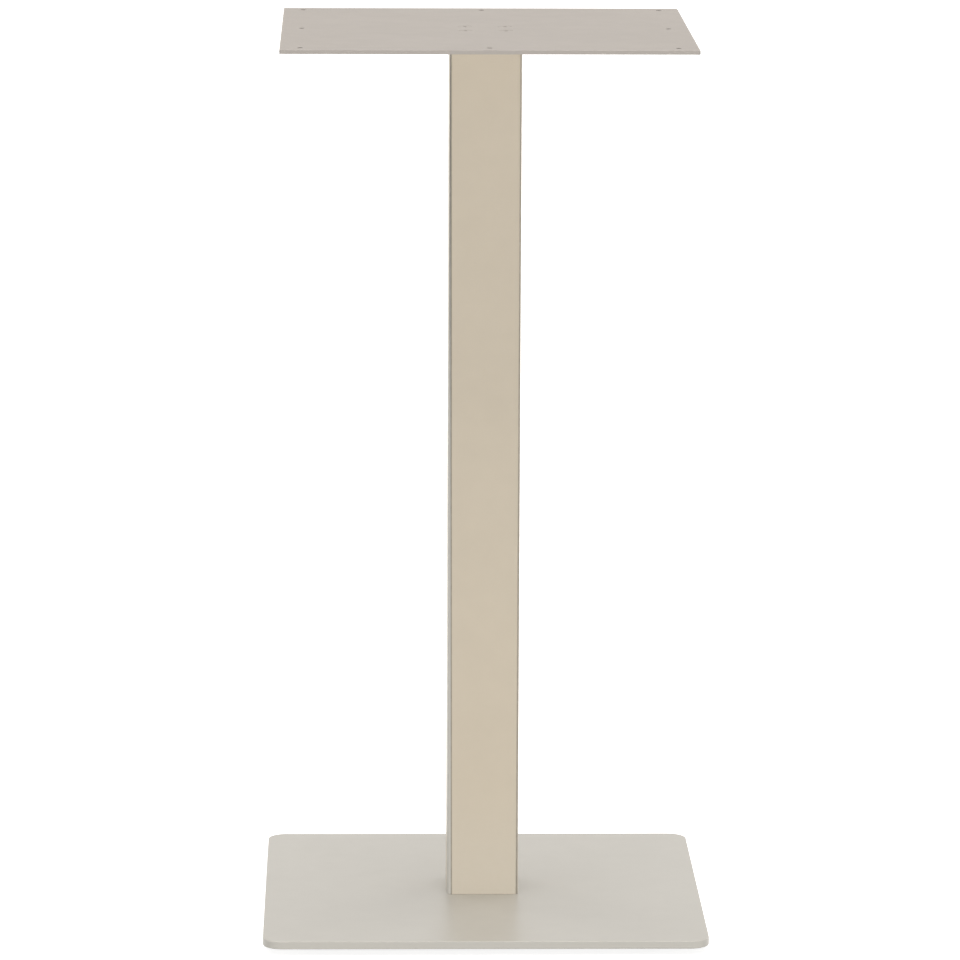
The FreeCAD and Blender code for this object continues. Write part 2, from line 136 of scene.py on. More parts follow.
class Finish:
    """A material or a world, and the sheet of nodes that makes it."""

    def __init__(self, name, owner=None):
        self.owner = owner or bpy.data.materials.new(name)
        self.owner.use_nodes = True
        self.tree = self.owner.node_tree
        self.tree.nodes.clear()

    def node(self, kind, settings=None, inputs=None, output=0):
        """Adds any node. Inputs and the output are given by name or by number."""
        made = self.tree.nodes.new(kind)
        for setting, value in (settings or {}).items():
            if setting == "stops":
                self.set_stops(made.color_ramp, value)
            else:
                setattr(made, setting, value)
        for socket, value in (inputs or {}).items():
            if isinstance(value, Value):
                self.tree.links.new(value.socket, made.inputs[socket])
            else:
                made.inputs[socket].default_value = value
        return Value(self, made.outputs[output]) if len(made.outputs) else None

    @staticmethod
    def set_stops(ramp, stops):
        ramp.elements[0].position, ramp.elements[0].color = stops[0]
        ramp.elements[1].position, ramp.elements[1].color = stops[-1]
        for place, colour in stops[1:-1]:
            ramp.elements.new(place).color = colour

    def place(self):
        """Where the shaded point is, in metres, in the piece's own space."""
        return self.node("ShaderNodeTexCoord", output="Object")

    def parts(self, vector):
        """The three numbers of a vector."""
        split = self.node("ShaderNodeSeparateXYZ", None, {0: vector})
        return [split.beside(axis) for axis in "XYZ"]

    def maths(self, operation, *values):
        """A Math node that has no sign of its own in Python."""
        inputs = dict(enumerate(values))
        return self.node("ShaderNodeMath", {"operation": operation}, inputs)

    def noise(self, where, size, detail=2.0, roughness=0.5):
        """Soft random lumps of about a size in metres, from 0 to 1."""
        inputs = {"Vector": where, "Scale": 1 / size}
        inputs.update({"Detail": detail, "Roughness": roughness})
        return self.node("ShaderNodeTexNoise", {"noise_dimensions": "3D"}, inputs)

    def spread(self, value, low, high, to_low=0.0, to_high=1.0):
        """The value, with low to high spread smoothly over to_low to to_high."""
        inputs = {"Value": value, "From Min": low, "From Max": high}
        inputs.update({"To Min": to_low, "To Max": to_high})
        return self.node("ShaderNodeMapRange", {"interpolation_type": "SMOOTHSTEP"}, inputs)

    def blend(self, factor, first, second):
        """Two colours mixed by a factor from 0 to 1."""
        inputs = {0: factor, MIX_FIRST: first, MIX_SECOND: second}
        return self.node("ShaderNodeMix", {"data_type": "RGBA"}, inputs, output=MIX_RESULT)

    def relief(self, height, depth, under=None):
        """A Bump node whose height, from 0 to 1, stands for a real depth in metres."""
        inputs = {"Strength": 1.0, "Distance": depth, "Height": height}
        if under:
            inputs["Normal"] = under
        return self.node("ShaderNodeBump", None, inputs)

    def paint(self, **sockets):
        """The surface itself, given by the names of the Principled shader's sockets."""
        inputs = {name.replace("_", " "): value for name, value in sockets.items()}
        return self.output(self.node("ShaderNodeBsdfPrincipled", None, inputs))

    def output(self, shader, kind="ShaderNodeOutputMaterial"):
        self.node(kind, None, {"Surface": shader})
        return self.owner


def srgb(red, green, blue, shade=1.0):
    """A colour as picked on a screen, 0 to 255, as the linear colour that Blender wants."""
    # The numbers below are the screen standard's own curve.
    linear = []
    for part in (red, green, blue):
        part /= 255
        flat = part / 12.92 if part <= 0.04045 else ((part + 0.055) / 1.055) ** 2.4
        linear.append(flat * shade)
    return (*linear, 1.0)


print("screen grey 128 is", round(srgb(128, 128, 128)[0], 3), "in linear light")

# %% [markdown]
# ## The powder coat
#
# Powder is sprayed on dry, charged so that it clings, and baked until it flows. It never
# flows quite flat: the skin keeps a fine orange peel, with lumps two or three millimetres
# across and a few hundredths high, over a much finer grain. The tone drifts a little over
# a hand's breadth, because the coat isn't equally thick everywhere.
#
# All of it could be painted into an image. Noise nodes do it better here, since they stay
# sharp at any distance and need no unwrapping. One function makes the coat for all the
# coated pieces. Each gets its own tone, and its own masks of painted light and shade.

# %% Powder coat
COAT_GLOSS = 0.34               # a roughness
COAT_GLOSS_SWING = 0.04
COAT_UNEVEN = 0.02
COAT_IOR = 1.6
MOTTLE_RANGE = (0.34, 0.66)     # the stretch of the lumps that goes from darker to lighter
CHANGE_SWING = 0.5              # how much the strength of a change wanders
DRIFT_SIZE = 160 * MM           # a hand's breadth
CLOUD_SIZE = 28 * MM
GRAIN_SIZE = 0.5 * MM
SHEEN_SIZE = 45 * MM            # patches of more and less gloss
WANDER_SIZE = 9 * MM            # lumps in that strength
PEEL_SIZE = 2.4 * MM
PEEL_DEPTH = 0.1 * MM
FINE_SIZE = 0.6 * MM
FINE_DEPTH = 0.012 * MM


def powder_coat(name, tone, changes=(), dull=COAT_GLOSS, uneven=COAT_UNEVEN):
    """The coat. A change is a mask, and the colour of painted light and shade put under it.
    """
    finish = Finish(name)
    place = finish.place()
    drift = finish.noise(place, DRIFT_SIZE, detail=3.0)
    cloud = finish.noise(place, CLOUD_SIZE, detail=2.0)
    grain = finish.noise(place, GRAIN_SIZE, detail=1.0)
    mottle = finish.spread(drift * 0.3 + cloud * 0.3 + grain * 0.4, *MOTTLE_RANGE)
    darker, lighter = srgb(*tone, shade=1 - uneven), srgb(*tone, shade=1 + uneven)
    colour = finish.blend(mottle, darker, lighter)
    sheen = finish.noise(place, SHEEN_SIZE, detail=3.0)
    gloss = dull - COAT_GLOSS_SWING / 2 + sheen * COAT_GLOSS_SWING
    for mask, new_colour in changes:
        wander = finish.noise(place, WANDER_SIZE, detail=3.0)
        part = mask(finish, place) * (1 - CHANGE_SWING / 2 + wander * CHANGE_SWING)
        colour = finish.blend(part, colour, new_colour)
        gloss = gloss + part * COAT_GLOSS_SWING
    peel = finish.noise(place, PEEL_SIZE, detail=1.5, roughness=0.45)
    skin = finish.relief(peel, PEEL_DEPTH)
    skin = finish.relief(finish.noise(place, FINE_SIZE, detail=2.0), FINE_DEPTH, skin)
    return finish.paint(Base_Color=colour, Roughness=gloss, Normal=skin, IOR=COAT_IOR)


def dress(node, material):
    """Gives a piece of the frame one finish all over."""
    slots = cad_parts[node].data.materials
    slots.clear()
    slots.append(material)


print("coat gloss", COAT_GLOSS, "is a roughness, so 0 would be a mirror")

# %% [markdown]
# ## Column tube
#
# The column is a drawn square tube. A darker hairline of painted shade runs along every
# bend: near the middle of the bend at the head, and at the bend's start at the foot. The
# mask is worked out from the place alone. The smaller of the two distances from the middle
# planes is the same along such a line on all four corners, so one band picks out all the
# hairlines at once. The lines on the left stand a little further in, and their painted
# shade deepens towards the head. Past its hairline, round the bend, the colour is greyer
# and paler, a painted reflection of the white surround. Near the foot the colour is a trace
# lighter, which is painted light.

# %% Coat the column
COLUMN_TONE = (195, 184, 165)
# painted light: lightens the column near its foot, where less light reaches it
FOOT_PAINTED_LIGHT = (200, 191, 175)
FOOT_PAINTED_LIGHT_REACH = 160 * MM
# painted reflection: a greyer, paler colour round each bend for the white surround at a
# grazing angle
BEND_PAINTED_REFLECTION = (190, 187, 180)
# painted shade: the dark hairline along every bend
HAIRLINE_PAINTED_SHADE = (116, 110, 99)
HAIRLINE_AT_HEAD = 1.5 * MM         # in from the side of the tube
HAIRLINE_AT_FOOT = 3.9 * MM
HAIRLINE_ASKEW = 2.1 * MM
HAIRLINE_CORE = 0.1 * MM            # full strength up to here, gone at the spread
HAIRLINE_SPREAD = 1.5 * MM
HAIRLINE_STRENGTH = 0.7
# the painted shade on the left lines deepens towards the head
LEFT_ADDS = (0.06, 0.3)             # to the strength, at the foot and at the head
BEND_FADE = 0.8 * MM                # the painted reflection fades in over this much past the hairline


def half_side(node):
    low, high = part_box(node)
    return (high.x - low.x) / 2


def from_middle(finish, place):
    """Distances from the two upright middle planes."""
    across, along, _ = finish.parts(place)
    return finish.maths("ABSOLUTE", across), finish.maths("ABSOLUTE", along)


def past_hairline(finish, place):
    """How far a point is past its hairline, in metres, and less than 0 on the flat."""
    foot, head = (corner.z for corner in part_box("column_tube"))
    side = half_side("column_tube")
    across, _, height = finish.parts(place)
    depth = (head - height) / (head - foot)
    at_foot = HAIRLINE_AT_FOOT - across * (HAIRLINE_ASKEW / side)
    inset = HAIRLINE_AT_HEAD + depth * (at_foot - HAIRLINE_AT_HEAD)
    nearer = finish.maths("MINIMUM", *from_middle(finish, place))
    return nearer - (side - inset)


# Painted shade: a dark line along each bend, stronger on the left towards the head.
def painted_shade_on_hairlines(finish, place):
    foot, head = (corner.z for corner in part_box("column_tube"))
    across, _, height = finish.parts(place)
    on_left = finish.maths("LESS_THAN", across, 0.0)
    strength = HAIRLINE_STRENGTH + on_left * finish.spread(height, foot, head, *LEFT_ADDS)
    away = finish.maths("ABSOLUTE", past_hairline(finish, place))
    return strength * (1 - finish.spread(away, HAIRLINE_CORE, HAIRLINE_SPREAD))


# Painted light: the column's colour lifted near its foot.
def painted_light_near_foot(finish, place):
    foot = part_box("column_tube")[0].z
    height = finish.parts(place)[2]
    return 1 - finish.spread(height, foot, foot + FOOT_PAINTED_LIGHT_REACH)


# Painted reflection: the greyer colour round each bend, past its hairline.
def painted_reflection_on_bends(finish, place):
    return finish.spread(past_hairline(finish, place), 0, BEND_FADE)


# painted light at the foot, painted reflection round the bends, painted shade on the
# hairlines
COLUMN_CHANGES = (
    (painted_light_near_foot, srgb(*FOOT_PAINTED_LIGHT)),
    (painted_reflection_on_bends, srgb(*BEND_PAINTED_REFLECTION)),
    (painted_shade_on_hairlines, srgb(*HAIRLINE_PAINTED_SHADE)),
)
dress("column_tube", powder_coat("column_coat", COLUMN_TONE, COLUMN_CHANGES))
print("column", round(2 * half_side("column_tube") / MM), "mm square, with its hairlines")

# %% [markdown]
# ## Base plate and top plate
#
# The plates are cut from sheet and coated apart from the column, in a greyer batch each.
# The top plate's coat is a little darker, duller and less even than the base plate's.
# Along a plate's rim the last millimetres carry painted shade on the base plate and painted
# light on the top plate. That takes one more mask, over the distance from the middle.

# %% Coat the plates
BASE_TONE = (190, 187, 179)
TOP_TONE = (160, 154, 148)
TOP_DULL = 0.6
TOP_UNEVEN = 0.04
RIM_BAND = 2.5 * MM
BASE_RIM_PAINTED_SHADE = 0.97
TOP_RIM_PAINTED_LIGHT = 1.14
PLATES = (
    # node, tone, roughness, unevenness, rim factor: above 1 painted light, below 1 painted
    # shade
    ("base_plate", BASE_TONE, COAT_GLOSS, COAT_UNEVEN, BASE_RIM_PAINTED_SHADE),
    ("top_plate", TOP_TONE, TOP_DULL, TOP_UNEVEN, TOP_RIM_PAINTED_LIGHT),
)


# Painted light and shade in the last millimetres of a plate, its rim face included.
def painted_light_and_shade_near_rim(node):
    reach = half_side(node)

    def mask(finish, place):
        further = finish.maths("MAXIMUM", *from_middle(finish, place))
        return finish.spread(further, reach - RIM_BAND, reach)

    return mask


# each plate's rim gets its painted light or painted shade
for node, tone, dull, uneven, rim_painted_factor in PLATES:
    painted_rim_change = (painted_light_and_shade_near_rim(node), srgb(*tone, shade=rim_painted_factor))
    dress(node, powder_coat(f"{node}_coat", tone, [painted_rim_change], dull, uneven))
    print(node, round(2 * half_side(node) / MM), "mm square, coated")

# %% [markdown]
# ## Bare steel end plates
#
# Two plates are welded inside the tube's ends and ground flush. They never see paint: the
# middle keeps a blue-grey mill scale, the weld's rim is bright where a grinder passed, and
# the heat of welding leaves straw and blue bands beside the rim. The bands are one colour
# ramp over the distance from the edge.

# %% Steel finish
HEAT_REACH = 20 * MM
HEAT_WANDER = 3 * MM                    # how far the bands stray from straight
HEAT_BANDS = (
    # part of the reach, colour
    (0.0, srgb(176, 174, 170)),
    (0.18, srgb(168, 163, 152)),
    (0.32, srgb(158, 137, 98)),
    (0.45, srgb(104, 98, 122)),
    (0.6, srgb(96, 104, 116)),
    (1.0, srgb(92, 94, 98)),
)
BAND_SIZE = 12 * MM
SCALE_COLOUR = srgb(76, 77, 80)
SCALE_SIZE = 5 * MM
SCALE_DULLS = (0.36, 0.6)               # the roughness where there is least and most of it
SCRATCH_SIZE = 12 * MM                  # along X, and much finer across it
SCRATCH_STRETCH = (1, 22, 22)
SCRATCH_DULLS = 0.08
STEEL_DEPTH = 0.04 * MM
STEEL_METAL = 0.9


def end_plate_steel(name, reach):
    finish = Finish(name)
    place = finish.place()
    further = finish.maths("MAXIMUM", *from_middle(finish, place))
    wander = finish.noise(place, BAND_SIZE, detail=3.0)
    inset = reach - further + wander * HEAT_WANDER
    heat = finish.node("ShaderNodeValToRGB", {"stops": HEAT_BANDS}, {0: inset / HEAT_REACH})
    scale = finish.noise(place, SCALE_SIZE, detail=4.0, roughness=0.65)
    colour = finish.blend(finish.spread(scale, 0.45, 0.6), heat, SCALE_COLOUR)
    stretch = {"Vector": place, "Scale": SCRATCH_STRETCH}
    across = finish.node("ShaderNodeMapping", None, stretch)
    scratches = finish.noise(across, SCRATCH_SIZE, detail=3.0)
    rough = finish.spread(scale, 0.3, 0.7, *SCALE_DULLS) + scratches * SCRATCH_DULLS
    skin = finish.relief(scale * 0.6 + scratches * 0.4, STEEL_DEPTH)
    return finish.paint(
        Base_Color=colour, Roughness=rough, Normal=skin, Metallic=STEEL_METAL
    )


for node in ("foot_end_plate", "head_end_plate"):
    dress(node, end_plate_steel(f"{node}_steel", half_side(node)))
    print(node, "left as ground steel with a heat tint")

# %% [markdown]
# ## Zinc plate for screws and studs
#
# Bright zinc is a thin, slightly blue metal skin over a turned surface. Its marks run round
# the axis, so they come from noise that depends only on the distance from the axis and on
# the height. Each piece made below has its axis on its own Z, which makes that distance
# easy to work out. The skin also has a faint straw cast in places.

# %% Zinc finish
ZINC_BLUE = srgb(186, 190, 194)
ZINC_STRAW = srgb(189, 186, 176)
ZINC_GLOSS = 0.26               # a roughness, before the haze and the marks add to it
STRAW_SIZE = 5 * MM
TURNING_MARK = 0.35 * MM
TURNING_DEPTH = 0.003 * MM
MARKS_DULL = 0.06
HAZE_SIZE = 1.2 * MM
HAZE_DULLS = 0.12


def zinc_plate():
    finish = Finish("zinc_plate")
    place = finish.place()
    across, along, up = finish.parts(place)
    from_axis = finish.maths("SQRT", across * across + along * along)
    rings = finish.node("ShaderNodeCombineXYZ", None, {0: from_axis, 1: up, 2: 0.0})
    turned = finish.noise(rings, TURNING_MARK, detail=2.0)
    cast = finish.noise(place, STRAW_SIZE, detail=2.0)
    colour = finish.blend(finish.spread(cast, 0.35, 0.7), ZINC_BLUE, ZINC_STRAW)
    haze = finish.noise(place, HAZE_SIZE, detail=2.0)
    hazy = finish.spread(haze, 0.3, 0.75)
    rough = ZINC_GLOSS + hazy * HAZE_DULLS + turned * MARKS_DULL
    skin = finish.relief(turned, TURNING_DEPTH)
    return finish.paint(Base_Color=colour, Roughness=rough, Normal=skin, Metallic=1.0)


ZINC = zinc_plate()
print("zinc finish has", len(ZINC.node_tree.nodes), "nodes")

# %% [markdown]
# ## Black moulded plastic
#
# The glides are moulded in a spark-eroded tool, which prints a fine, even grain on them.
# The grain is bump alone. Near the floor they pick up a little pale dust, which is a second
# colour, masked by the height above the foot.

# %% Plastic finish
PLASTIC_DARK = srgb(27, 27, 28)
PLASTIC_LIGHT = srgb(37, 37, 38)
PLASTIC_GLOSS = 0.5             # a roughness
SPARK_SIZE = 0.22 * MM
SPARK_DEPTH = 0.02 * MM
SPARK_DULLS = 0.1
DUST_COLOUR = srgb(112, 108, 102)
DUST_SIZE = 3 * MM
DUST_REACH = 1.6 * MM           # above the floor
DUST_MOST = 0.35
DUST_DULLS = 0.2


def black_plastic():
    finish = Finish("black_plastic")
    place = finish.place()
    height = finish.parts(place)[2]
    grain = finish.noise(place, SPARK_SIZE, detail=2.0, roughness=0.6)
    patch = finish.noise(place, DUST_SIZE, detail=3.0)
    low_down = 1 - finish.spread(height, 0.0, DUST_REACH)
    dust = low_down * finish.spread(patch, 0.42, 0.7) * DUST_MOST
    colour = finish.blend(grain, PLASTIC_DARK, PLASTIC_LIGHT)
    colour = finish.blend(dust, colour, DUST_COLOUR)
    rough = PLASTIC_GLOSS + grain * SPARK_DULLS + dust * DUST_DULLS
    skin = finish.relief(grain, SPARK_DEPTH)
    return finish.paint(Base_Color=colour, Roughness=rough, Normal=skin)


PLASTIC = black_plastic()
print("plastic finish has", len(PLASTIC.node_tree.nodes), "nodes")

# %% [markdown]
# ## Turned parts, ring by ring
#
# A screw, stud or pad is round almost everywhere, so its mesh grows ring by ring along its
# outline, from one end of its axis to the other. A screw modifier that spins a profile
# would do for the plain stretches. Rings do more: a ring's radius may follow a rule of the
# angle, which gives the hexagon of a socket or a nut. So may its height, which gives the
# curved chamfer that a lathe leaves on a hexagon's corners.

# %% A surface grown from rings
AROUND = 48
FULL_TURN = 2 * math.pi


def at(rule, angle):
    """The value of a rule at an angle. A plain number is a rule that never changes."""
    return rule(angle) if callable(rule) else rule


def hexagon(flats):
    """The distance from the axis to a hexagon's side, with a corner at angle 0."""

    def radius(angle):
        off_corner = angle % (math.pi / 3)
        return flats / 2 / math.cos(off_corner - math.pi / 6)

    return radius


def add_object(name, mesh, material=None):
    """Turns a finished bmesh into an object in the scene."""
    data = bpy.data.meshes.new(name)
    mesh.to_mesh(data)
    mesh.free()
    if material:
        data.materials.append(material)
    thing = bpy.data.objects.new(name, data)
    bpy.context.scene.collection.objects.link(thing)
    return thing


def shade_by_angle(data, degrees=35):
    data.shade_smooth()
    data.set_sharp_from_angle(angle=math.radians(degrees))


class Turning:
    """A closed surface that grows one ring at a time."""

    def __init__(self, around=AROUND):
        self.mesh = bmesh.new()
        self.around = around
        self.last = None

    def point(self, step, radius, height):
        angle = FULL_TURN * step / self.around
        across, along = radius * math.cos(angle), radius * math.sin(angle)
        return self.mesh.verts.new((across, along, height))

    def face(self, *points):
        return self.mesh.faces.new(points)

    def ring(self, radius, height):
        """One more ring, joined to the last one. The first ring is closed with a face."""
        new = []
        for step in range(self.around):
            angle = FULL_TURN * step / self.around
            new.append(self.point(step, at(radius, angle), at(height, angle)))
        if self.last is None:
            self.face(*new)
        else:
            for step in range(self.around):
                after = (step + 1) % self.around
                self.face(self.last[step], self.last[after], new[after], new[step])
        self.last = new
        return new

    def rings(self, *outline):
        for radius, height in outline:
            self.ring(radius, height)

    def round_over(self, start, end, steps=4):
        """A quarter circle, level at its narrower end and upright at its wider one."""
        (radius, height), (to_radius, to_height) = start, end
        wider = to_radius > radius
        for step in range(steps + 1):
            turn = math.pi / 2 * step / steps
            across = math.sin(turn) if wider else 1 - math.cos(turn)
            along = 1 - math.cos(turn) if wider else math.sin(turn)
            new_radius = radius + (to_radius - radius) * across
            self.ring(new_radius, height + (to_height - height) * along)

    def make(self, name, material):
        """Closes the last ring and makes the object."""
        self.face(*self.last)
        bmesh.ops.recalc_face_normals(self.mesh, faces=self.mesh.faces)
        piece = add_object(name, self.mesh, material)
        shade_by_angle(piece.data)
        return piece


print("a ring has", AROUND, "points, and a hexagon's six corners fall on points")

# %% [markdown]
# ## A real thread
#
# A thread is a ridge that winds up a cylinder. Rings alone would make grooves that close on
# themselves, so this stretch is one long ribbon instead: four tracks, at the root, the two
# sides of the crest and the root again, climb one pitch a turn. The last track of one turn
# is joined to the first track of the next.
#
# The ribbon's two ends are free edges that climb a whole pitch. A level ring closes each,
# and one face with a few more corners takes up the step where the ridge begins. The crest
# rises from the root over the first half turn, as it does where a thread runs out.

# %% Thread
PITCH = 1.25 * MM
THREAD_DEPTH = 0.61 * PITCH
COLLAR = 0.1 * PITCH
TRACKS = (
    # part of a pitch, and 1 at the crest
    (0.0, 0),
    (0.375, 1),
    (0.5, 1),
    (0.875, 0),
)
LOWEST, HIGHEST = 0, 3                  # the two tracks at the root


def wind_ribbon(turning, crest, start, steps):
    """The four tracks of the thread, step by step."""
    around = turning.around
    ribbon = []
    for step in range(steps + 1):
        rise = min(1, 2 * step / around, 2 * (steps - step) / around) * THREAD_DEPTH
        height = start + PITCH * step / around
        tracks = []
        for part, on_crest in TRACKS:
            radius = crest - THREAD_DEPTH + rise * on_crest
            tracks.append(turning.point(step, radius, height + part * PITCH))
        ribbon.append(tracks)
    return ribbon


def thread(turning, crest, bottom, top):
    """Winds a thread up the axis, from a ring at its root to another one near the top."""
    around = turning.around
    root = crest - THREAD_DEPTH
    low_ring = turning.ring(root, bottom)
    steps = int((top - bottom - 2 * COLLAR - PITCH) / PITCH * around)
    ribbon = wind_ribbon(turning, crest, bottom + COLLAR, steps)
    for one, following in zip(ribbon, ribbon[1:]):
        for track in range(HIGHEST):
            turning.face(one[track], following[track], following[track + 1], one[track + 1])
    for step in range(steps - around):
        left, right = ribbon[step][HIGHEST], ribbon[step + 1][HIGHEST]
        a_turn_on = step + around
        turning.face(left, right, ribbon[a_turn_on + 1][LOWEST], ribbon[a_turn_on][LOWEST])
    for step in range(around):
        left, right = low_ring[step], low_ring[(step + 1) % around]
        corners = [left, right, ribbon[step + 1][LOWEST], ribbon[step][LOWEST]]
        if step == around - 1:
            corners[2:2] = ribbon[0]
        turning.face(*corners)
    first = steps - around
    high_height = ribbon[-1][HIGHEST].co.z + COLLAR
    high_ring = [turning.point(step, root, high_height) for step in range(around)]
    for step in range(first, steps):
        left, right = high_ring[step % around], high_ring[(step + 1) % around]
        corners = [ribbon[step][HIGHEST], ribbon[step + 1][HIGHEST], right, left]
        if step == first:
            corners += reversed(ribbon[-1])
        turning.face(*corners)
    turning.last = high_ring


print("pitch", PITCH / MM, "mm, thread", round(THREAD_DEPTH / MM, 2), "mm deep")

# %% [markdown]
# ## Countersunk screws
#
# Eight screws hold the outer plates to the end plates. Each is made with its head's flat
# face at height 0 and its shank upwards: the socket's drilled bottom, its hexagon, a small
# chamfer at its mouth, the head's face and cone, an undercut, the thread and a chamfered
# tip. The upper four are the same screw turned over. Their heads were coated with the
# plate, so they show only as faint rings.

# %% Screw shape
HEAD_RADIUS = 8 * MM
HEAD_RIM = 0.4 * MM
HEAD_EASE = 0.15 * MM
HEAD_BORDER = 1.2 * MM
SHANK_RADIUS = 4 * MM
SOCKET_FLATS = 5 * MM
SOCKET_DEPTH = 3 * MM
SOCKET_MOUTH = SOCKET_FLATS / 2 / math.cos(math.pi / 6)
SOCKET_EASE = 0.12 * MM
SOCKET_CHAMFER = 0.25 * MM
DRILL_RADIUS = 2.3 * MM
DRILL_POINT = 0.4 * MM
DRILL_CONE = 0.9 * MM
NECK_END = 0.5 * MM             # these three are counted from the end of the head's cone
UNDERCUT_START = 0.9 * MM
UNDERCUT_END = 1.1 * MM
THREAD_RUN_OUT = 0.3 * MM       # left plain before the tip
TIP_EASE = 0.05 * MM
TIP_CHAMFER = 1 * MM


def tip(turning, length):
    turning.rings(
        (SHANK_RADIUS - TIP_CHAMFER, length - TIP_EASE),
        (SHANK_RADIUS - 1.2 * TIP_CHAMFER, length),
    )


def countersunk_screw(name, length, head_material):
    turning = Turning()
    socket = hexagon(SOCKET_FLATS)
    turning.rings(
        (DRILL_POINT, SOCKET_DEPTH + DRILL_CONE),
        (DRILL_RADIUS, SOCKET_DEPTH),
        (socket, SOCKET_DEPTH),
        (socket, SOCKET_CHAMFER),
        (SOCKET_MOUTH + SOCKET_EASE, 0),
        (HEAD_RADIUS - HEAD_BORDER, 0),
    )
    turning.round_over((HEAD_RADIUS - HEAD_EASE, 0), (HEAD_RADIUS, HEAD_EASE), steps=3)
    neck = HEAD_RIM + HEAD_RADIUS - SHANK_RADIUS
    turning.rings(
        (HEAD_RADIUS, HEAD_RIM),
        (SHANK_RADIUS, neck),
        (SHANK_RADIUS, neck + NECK_END),
        (SHANK_RADIUS - THREAD_DEPTH, neck + UNDERCUT_START),
    )
    thread(turning, SHANK_RADIUS, neck + UNDERCUT_END, length - THREAD_RUN_OUT)
    tip(turning, length)
    piece = turning.make(name, ZINC)
    piece.data.materials.append(head_material)
    for face in piece.data.polygons:
        from_axis, height = face.center.xy.length, face.center.z
        in_socket = from_axis < SOCKET_MOUTH and height < 2 * SOCKET_DEPTH
        if height < HEAD_RIM or in_socket:
            face.material_index = 1
    return piece


print("screw head", 2 * HEAD_RADIUS / MM, "mm across, shank", 2 * SHANK_RADIUS / MM, "mm")

# %% [markdown]
# ## In a node's place
#
# A new piece stands for a node of the frame, so it goes where that node is. Its foot is put
# at the middle of the node's lowest face, or of the highest one for a piece that hangs from
# above. Then it rides on the node's body and hides the node. The piece's length comes from
# the node too, so neither can drift away from the other.

# %% Fit a piece
NUMBERS = (1, 2, 3, 4)          # of each screw, stud and pad


def fit(piece, node, body, upside_down=False, turn=0.0):
    """Puts a new piece where a node is, on its body, and lets it stand for that node."""
    low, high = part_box(node)
    middle = (low + high) / 2
    foot = Vector((middle.x, middle.y, high.z if upside_down else low.z))
    tilt = Matrix.Rotation(math.pi if upside_down else 0, 4, "X")
    piece.matrix_world = Matrix.Translation(foot) @ tilt @ Matrix.Rotation(turn, 4, "Z")
    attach(piece, body)
    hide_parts(node)


def height_of(node):
    low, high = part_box(node)
    return high.z - low.z


print("a base screw is", round(height_of("base_screw_1") / MM, 1), "mm long")

# %% [markdown]
# ## The eight screws in their places
#
# A fitter never leaves four sockets pointing the same way. The turn of each screw grows by
# the golden angle, which looks irregular and comes out the same at every run.

# %% Fit the screws
GOLDEN_ANGLE = math.pi * (3 - math.sqrt(5))
SCREW_COAT = powder_coat("screw_head_coat", TOP_TONE, dull=TOP_DULL, uneven=TOP_UNEVEN)

for number in NUMBERS:
    base_node, top_node = f"base_screw_{number}", f"top_screw_{number}"
    lower = countersunk_screw(f"{base_node}_turned", height_of(base_node), ZINC)
    fit(lower, base_node, "pedestal", turn=GOLDEN_ANGLE * number)
    upper = countersunk_screw(f"{top_node}_turned", height_of(top_node), SCREW_COAT)
    upper_turn = GOLDEN_ANGLE * (len(NUMBERS) + number)
    fit(upper, top_node, "pedestal", upside_down=True, turn=upper_turn)
    faces = [len(screw.data.polygons) for screw in (lower, upper)]
    print("screws", number, "fitted, lower and upper with", faces, "faces")

# %% [markdown]
# ## Glide studs
#
# A stud's round head sits in the pad and swivels there. Above it come a neck, a thin
# hexagon for a spanner, and the thread that screws into the base plate. The hexagon's
# lower corners are turned off at 30 degrees: the cone meets each flat in a curve, which is
# exactly a ring whose height follows its radius.

# %% Stud shape
NUT_FLATS = 13 * MM
NUT_THICK = 3 * MM
NUT_FACE = 0.96                 # part of the flats that the lathe leaves flat
NUT_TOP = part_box("base_plate")[0].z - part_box("glide_stud_1")[0].z
STUD_HEAD_RADIUS = 8 * MM
STUD_HEAD_THICK = 1.8 * MM
STUD_NECK = 4.5 * MM
STUD_SEAT = 0.2 * MM            # in from the shank, where it leaves the hexagon
STUD_UNDERCUT_START = 0.5 * MM  # above the hexagon
STUD_UNDERCUT_END = 0.6 * MM
EASED = 0.3 * MM
LATHE_SLOPE = math.tan(math.radians(30))


def glide_stud(name, length):
    turning = Turning()
    nut = hexagon(NUT_FLATS)
    nut_low = NUT_TOP - NUT_THICK
    face_radius = NUT_FACE * NUT_FLATS / 2

    def turned_corner(angle):
        return nut_low + (nut(angle) - face_radius) * LATHE_SLOPE

    turning.round_over((STUD_HEAD_RADIUS - EASED, 0), (STUD_HEAD_RADIUS, EASED), steps=3)
    turning.rings(
        (STUD_HEAD_RADIUS, STUD_HEAD_THICK - EASED),
        (STUD_HEAD_RADIUS - EASED, STUD_HEAD_THICK),
        (STUD_NECK + EASED, STUD_HEAD_THICK),
        (STUD_NECK, STUD_HEAD_THICK + EASED),
        (STUD_NECK, nut_low),
        (face_radius, nut_low),
        (nut, turned_corner),
        (nut, NUT_TOP),
        (SHANK_RADIUS - STUD_SEAT, NUT_TOP),
        (SHANK_RADIUS - THREAD_DEPTH, NUT_TOP + STUD_UNDERCUT_START),
    )
    thread(turning, SHANK_RADIUS, NUT_TOP + STUD_UNDERCUT_END, length - THREAD_RUN_OUT)
    tip(turning, length)
    return turning.make(name, ZINC)


for number in NUMBERS:
    node = f"glide_stud_{number}"
    stud = glide_stud(f"{node}_turned", height_of(node))
    fit(stud, node, f"stud_{number}")
    print(node, "fitted, length", round(height_of(node) / MM, 1), "mm")

